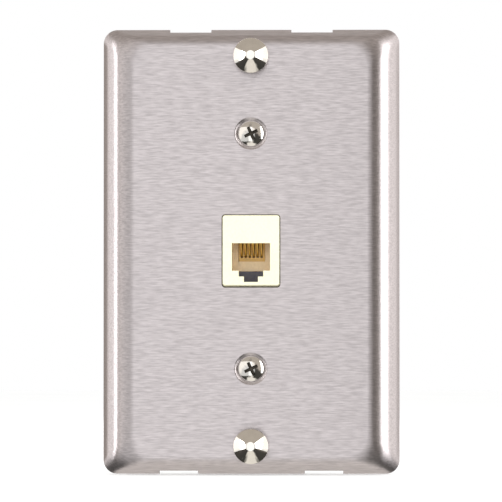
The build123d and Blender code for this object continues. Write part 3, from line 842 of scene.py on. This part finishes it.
class JACKPLATE_OT_jack(bpy.types.Operator):
    """Make the ivory jack housing and the carrier that holds its contacts"""

    bl_idname = "jack_plate.jack"
    bl_label = "Jack housing and carrier"

    def execute(self, context):
        looks = context.scene.jack_plate_jack
        ivory = plastic("ivory_plastic", looks.ivory, 0.22, 0.34, 0.02)
        amber = plastic("amber_plastic", looks.amber, 0.25, 0.4, 0.06)
        liner = plastic("amber_liner", looks.liner, 0.2, 0.34, 0.06)
        # painted shade material: near black, with no specular, for the rim faces seen through the gap round
        # the jack
        painted_rim_shade = plastic("shaded_rim", looks.painted_rim_shade, 0.6, 0.8, 0.2, Specular_IOR_Level=0.0)
        housing = from_frame("moulded_jack_housing", "jack_housing", ivory, looks.edge)
        low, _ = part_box("jack_housing")
        half = looks.plug_width / 2 + ON_FACE
        line_faces(
            housing,
            liner,
            (-half, low.y + looks.liner_setback, -looks.plug_drop),
            (half, looks.plug_stop, looks.plug_top),
        )
        rim = -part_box("face_plate")[0].y - context.scene.jack_plate_face.sheet
        lip = [v for v in housing.data.vertices if v.co.y < -rim - ON_FACE]
        foot = min(v.co.z for v in lip) + looks.lip_corner
        for vert in lip:
            if abs(vert.co.x) > looks.plug_width / 2 + looks.lip_corner:
                vert.co.x -= copysign(looks.lip_trim, vert.co.x)
            if vert.co.z < foot:
                vert.co.z += looks.lip_lift
        # painted shade: the housing's rim faces just behind the plate's window get the near-black colour,
        # so the gap round the jack looks shaded
        line_faces(housing, painted_rim_shade, (-1, -rim - ON_FACE, -1), (1, -rim + ON_FACE, 1))
        carrier = "moulded_contact_carrier"
        from_frame(carrier, "contact_carrier", amber, looks.edge)
        return {"FINISHED"}


class JACKPLATE_OT_contacts(bpy.types.Operator):
    """Bend the gold contact wires"""

    bl_idname = "jack_plate.contacts"
    bl_label = "Contact wires"

    def execute(self, context):
        looks = context.scene.jack_plate_jack
        patches, relief = (1.2, (1.0, 4.0, 4.0)), (6.0, (1.0, 5.0, 5.0), 0.001)
        gold = finish("gold_wire", looks.gold, 0.08, patches, (0.32, 0.44), 2.0, relief, Metallic=1.0)
        legs_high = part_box("contact_legs")[1]
        leg_rear = -legs_high.y
        bend_height = legs_high.z - looks.wire_radius - looks.bend_radius
        for n in range(looks.count):
            spring = f"contact_spring_{n + 1}"
            low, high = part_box(spring)
            x = (low.x + high.x) / 2
            path = wire_path(looks, bend_height, leg_rear, low.z + looks.wire_radius * cos(looks.slope))
            form = swept(path, x, looks.wire_radius)
            nodes = [spring, "contact_legs"]
            wire = seat(form, f"bent_contact_{n + 1}", gold, None, nodes, sharp=60.0)
            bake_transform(wire)
        return {"FINISHED"}


def wire_path(looks, bend_height, leg_rear, tip_height):
    """Middle line of a contact wire, as (out, height): leg, bend and spring."""
    path = [(leg_rear, bend_height + looks.bend_radius)]
    path.append((0.0, bend_height + looks.bend_radius))
    sweep = pi - looks.slope
    for k in range(17):
        a = pi / 2 - sweep * k / 16
        path.append((looks.bend_out + looks.bend_radius * cos(a), bend_height + looks.bend_radius * sin(a)))
    front, height = path[-1]
    run = (height - tip_height) / sin(looks.slope)
    for k in range(1, 25):
        s = run * k / 24
        path.append((front - s * cos(looks.slope), height - s * sin(looks.slope)))
    return path


def swept(path, x, radius, segments=20):
    """A round wire along the path, in the upright plane at x, with rounded ends."""
    points = [Vector(p) for p in path]
    headings = [
        (points[min(len(points) - 1, k + 1)] - points[max(0, k - 1)]).normalized()
        for k in range(len(points))
    ]
    stations = [(points[0], headings[0], 0.55), (points[0] + headings[0] * radius * 0.5, headings[0], 1.0)]
    stations += [(point, heading, 1.0) for point, heading in zip(points[1:-1], headings[1:-1])]
    last, heading = points[-1], headings[-1]
    for setback, size in ((0.5, 1.0), (0.15, 0.8), (0.0, 0.45)):
        stations.append((last - heading * radius * setback, heading, size))
    bm = bmesh.new()
    rows = []
    for point, heading, size in stations:
        row = []
        for k in range(segments):
            a = 2 * pi * k / segments
            side, lift = radius * size * cos(a), radius * size * sin(a)
            row.append(bm.verts.new(at(x + side, point.x - heading.y * lift, point.y + heading.x * lift)))
        rows.append(row)
    for near, far in zip(rows, rows[1:]):
        ring_faces(bm, near, far)
    bm.faces.new(rows[0])
    bm.faces.new(rows[-1])
    return bm


class JACKPLATE_OT_terminals(bpy.types.Operator):
    """Make the terminal block, its plates, the lugs and the ferrules"""

    bl_idname = "jack_plate.terminals"
    bl_label = "Terminal block"

    def execute(self, context):
        looks = context.scene.jack_plate_jack
        block = plastic("dark_block", looks.block, 0.34, 0.5, 0.14)
        brass = satin_metal("terminal_brass", looks.brass, 0.2, 0.36)
        tin = satin_metal("tinned_copper", looks.tin, 0.24, 0.4)
        steel = satin_metal("block_screw_steel", context.scene.jack_plate_screws.steel, 0.2, 0.34)
        for name, node, material, slot, edge in (
            ("moulded_terminal_block", "terminal_block", block, "dark_block", 0.15),
            ("stamped_terminal_plates", "terminal_plates", brass, "terminal_brass", 0.1),
            ("crimped_spade_lugs", "spade_lugs", tin, "tinned_lug", 0.08),
            ("rolled_ferrules", "crimp_ferrules", tin, "tinned_ferrule", 0.05),
            ("small_block_screws", "block_screws", steel, "steel_screw", 0.06),
        ):
            from_frame(name, node, material, edge * MM)
        return {"FINISHED"}


LEAD_COLOURS = {
    "white": (0.86, 0.86, 0.83),
    "black": (0.025, 0.025, 0.03),
    "red": (0.55, 0.025, 0.025),
    "green": (0.015, 0.26, 0.08),
    "yellow": (0.80, 0.60, 0.04),
    "blue": (0.025, 0.09, 0.45),
}


class JACKPLATE_OT_leads(bpy.types.Operator):
    """Make the coloured leads from the contacts to the terminals"""

    bl_idname = "jack_plate.leads"
    bl_label = "Leads"

    def execute(self, context):
        for n, (name, base) in enumerate(LEAD_COLOURS.items(), start=1):
            sleeve = plastic(f"{name}_sleeve", base, 0.36, 0.5, 0.08)
            from_frame(f"{name}_lead", f"lead_wire_{n}", sleeve, 0.0, sharp=50.0)
        return {"FINISHED"}


class JACKPLATE_OT_strap(bpy.types.Operator):
    """Make the mounting strap and the bracket behind the plate"""

    bl_idname = "jack_plate.strap"
    bl_label = "Strap and bracket"

    def execute(self, context):
        looks = context.scene.jack_plate_jack
        zinc = satin_metal("zinc_sheet", looks.zinc, 0.3, 0.46)
        from_frame("stamped_strap", "mounting_strap", zinc, looks.strap_edge)
        from_frame("stamped_bracket", "jack_bracket", zinc, looks.bracket_edge)
        return {"FINISHED"}


def soft_light(name, azimuth, elevation, distance, width, height, brightness):
    """A soft box that faces the middle; azimuth is from straight ahead, positive to the right."""
    lamp = bpy.data.lights.new(name, "AREA")
    lamp.shape = "RECTANGLE"
    lamp.size, lamp.size_y = width, height
    lamp.energy = brightness * pi * width * height
    soft = bpy.data.objects.new(name, lamp)
    bpy.context.scene.collection.objects.link(soft)
    a, e = radians(azimuth), radians(elevation)
    place = Vector((sin(a) * cos(e), -cos(a) * cos(e), sin(e))) * distance
    soft.location = place
    soft.rotation_euler = place.to_track_quat("Z", "Y").to_euler()
    soft.visible_camera = False
    return soft


def room_light(looks):
    """The room: white where it is looked at or lights a matt surface, and shaded where it is mirrored.

    A mirrored room is pale below, dark around the sides and dim overhead, with uneven edges between.
    """
    world = bpy.data.worlds.new("studio")
    world.use_nodes = True
    tree = world.node_tree
    tree.nodes.clear()
    direction = wire_up(tree, "ShaderNodeTexCoord", (-1200, -200))
    split = wire_up(tree, "ShaderNodeSeparateXYZ", (-1000, -200))
    sideways = wire_up(tree, "ShaderNodeMath", (-800, -200), operation="ABSOLUTE")
    height = wire_up(tree, "ShaderNodeMath", (-600, -200), operation="MULTIPLY_ADD")
    height.inputs[1].default_value = SIDES_RISE
    clutter = wire_up(tree, "ShaderNodeTexNoise", (-800, -400), Scale=3.2, Detail=2.0)
    stirred = wire_up(tree, "ShaderNodeMath", (-500, -300), operation="MULTIPLY_ADD")
    stirred.inputs[1].default_value = UNEVENNESS
    level_of = wire_up(tree, "ShaderNodeMapRange", (-400, -200))
    level_of.inputs["From Min"].default_value = UNEVENNESS / 2 - 1
    level_of.inputs["From Max"].default_value = UNEVENNESS / 2 + 1
    ramp = wire_up(tree, "ShaderNodeValToRGB", (-200, -200))
    stops = ramp.color_ramp.elements
    stops[0].position, stops[1].position = ROOM_TONES[0][0], ROOM_TONES[-1][0]
    for place, _ in ROOM_TONES[1:-1]:
        stops.new(place)
    for stop, (_, tone) in zip(stops, ROOM_TONES):
        stop.color = (*tone, 1.0)
    seen = wire_up(tree, "ShaderNodeLightPath", (0, 300))
    mirrored = wire_up(tree, "ShaderNodeBackground", (100, -200), Strength=looks.room)
    open_room = wire_up(tree, "ShaderNodeBackground", (100, 0), Color=(1, 1, 1, 1), Strength=1.0)
    pick = wire_up(tree, "ShaderNodeMixShader", (300, 0))
    out = wire_up(tree, "ShaderNodeOutputWorld", (500, 0))
    for source, target in (
        (direction.outputs["Generated"], split.inputs["Vector"]),
        (split.outputs["X"], sideways.inputs[0]),
        (sideways.outputs["Value"], height.inputs[0]),
        (split.outputs["Z"], height.inputs[2]),
        (direction.outputs["Generated"], clutter.inputs["Vector"]),
        (clutter.outputs["Fac"], stirred.inputs[0]),
        (height.outputs["Value"], stirred.inputs[2]),
        (stirred.outputs["Value"], level_of.inputs["Value"]),
        (level_of.outputs["Result"], ramp.inputs["Fac"]),
        (ramp.outputs["Color"], mirrored.inputs["Color"]),
        (seen.outputs["Is Glossy Ray"], pick.inputs["Fac"]),
        (open_room.outputs["Background"], pick.inputs[1]),
        (mirrored.outputs["Background"], pick.inputs[2]),
        (pick.outputs["Shader"], out.inputs["Surface"]),
    ):
        tree.links.new(source, target)
    return world


SIDES_RISE = 0.9  # how much the sides of the mirrored room count as height
UNEVENNESS = 1.1
# Height in the mirrored room, from 0 at the bottom to 1 at the top, and its colour.
ROOM_TONES = (
    (0.20, (0.92, 0.88, 0.82)),
    (0.30, (0.05, 0.05, 0.045)),
    (0.70, (0.07, 0.065, 0.06)),
    (0.84, (0.50, 0.45, 0.40)),
)


SENSOR = 36.0
FLOOR_GAP = 0.2 * MM
# For each soft light: azimuth and elevation in degrees, then distance, width and height in metres.
LIGHTS = {
    "front": (-22, 0, 1.8, 2.8, 2.4),
    "core": (-4, 0, 1.7, 0.55, 2.4),
    "rear": (180, 28, 1.4, 1.4, 0.6),
    "key": (61, 8, 1.3, 0.6, 1.3),
    "side": (-90, 5, 1.2, 0.9, 1.2),
    "strip": (-72, 5, 1.3, 0.12, 1.2),
    "fill": (96, 8, 1.4, 1.3, 1.6),
}


class JACKPLATE_OT_stage(bpy.types.Operator):
    """Set up the floor, the soft lights and the camera"""

    bl_idname = "jack_plate.stage"
    bl_label = "Stage"

    def execute(self, context):
        looks = context.scene.jack_plate_stage
        scene = context.scene
        low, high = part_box("face_plate")
        face = at(0, -low.y, 0)
        sideways, up = looks.azimuth, looks.elevation
        away = Vector((sin(sideways) * cos(up), -cos(sideways) * cos(up), sin(up))) * looks.distance
        lens = bpy.data.cameras.new("camera")
        lens.sensor_width = SENSOR
        lens.lens = SENSOR * looks.distance / looks.view_height
        lens.clip_start, lens.clip_end = 0.01, 50.0
        camera = bpy.data.objects.new("camera", lens)
        scene.collection.objects.link(camera)
        camera.location = face + away
        camera.rotation_euler = away.to_track_quat("Z", "Y").to_euler()
        scene.camera = camera

        floor_mesh = bmesh.new()
        bmesh.ops.create_grid(floor_mesh, x_segments=2, y_segments=2, size=6.0)
        patches, relief = (0.01, EVEN), (0.02, EVEN, 0.001)
        pale = finish(
            "pale_floor", looks.floor, 0.01, patches, (0.7, 0.8), 0.02, relief, Specular_IOR_Level=0.0
        )
        floor_piece = loose(floor_mesh, "floor", pale)
        floor_piece.location.z = low.z - FLOOR_GAP
        floor_piece.visible_glossy = False

        for name, (*place, width, tall) in LIGHTS.items():
            soft_light(f"{name}_light", *place, width, tall, getattr(looks, name))
        scene.world = room_light(looks)
        scene.view_settings.view_transform = "Standard"
        scene.view_settings.look = "None"
        return {"FINISHED"}


STEPS = (
    JACKPLATE_OT_stage,
    JACKPLATE_OT_face_plate,
    JACKPLATE_OT_studs,
    JACKPLATE_OT_plate_screws,
    JACKPLATE_OT_slotted_screws,
    JACKPLATE_OT_jack,
    JACKPLATE_OT_contacts,
    JACKPLATE_OT_terminals,
    JACKPLATE_OT_leads,
    JACKPLATE_OT_strap,
)


class JACKPLATE_PT_panel(bpy.types.Panel):
    """Lists the steps that build the jack plate."""

    bl_label = "Jack plate"
    bl_idname = "JACKPLATE_PT_panel"
    bl_space_type = "VIEW_3D"
    bl_region_type = "UI"
    bl_category = "Jack plate"

    def draw(self, context):
        for step in STEPS:
            self.layout.operator(step.bl_idname)


LOOKS = {
    "jack_plate_face": PlateLooks,
    "jack_plate_studs": StudLooks,
    "jack_plate_screws": ScrewLooks,
    "jack_plate_jack": JackLooks,
    "jack_plate_stage": StageLooks,
}


def register():
    for group in LOOKS.values():
        bpy.utils.register_class(group)
    for step in STEPS:
        bpy.utils.register_class(step)
    bpy.utils.register_class(JACKPLATE_PT_panel)
    for name, group in LOOKS.items():
        setattr(bpy.types.Scene, name, PointerProperty(type=group))


def unregister():
    for name in LOOKS:
        delattr(bpy.types.Scene, name)
    bpy.utils.unregister_class(JACKPLATE_PT_panel)
    for step in reversed(STEPS):
        bpy.utils.unregister_class(step)
    for group in reversed(LOOKS.values()):
        bpy.utils.unregister_class(group)


def main():
    register()
    for step in STEPS:
        group, name = step.bl_idname.split(".")
        getattr(getattr(bpy.ops, group), name)()


if __name__ == "__main__":
    main()
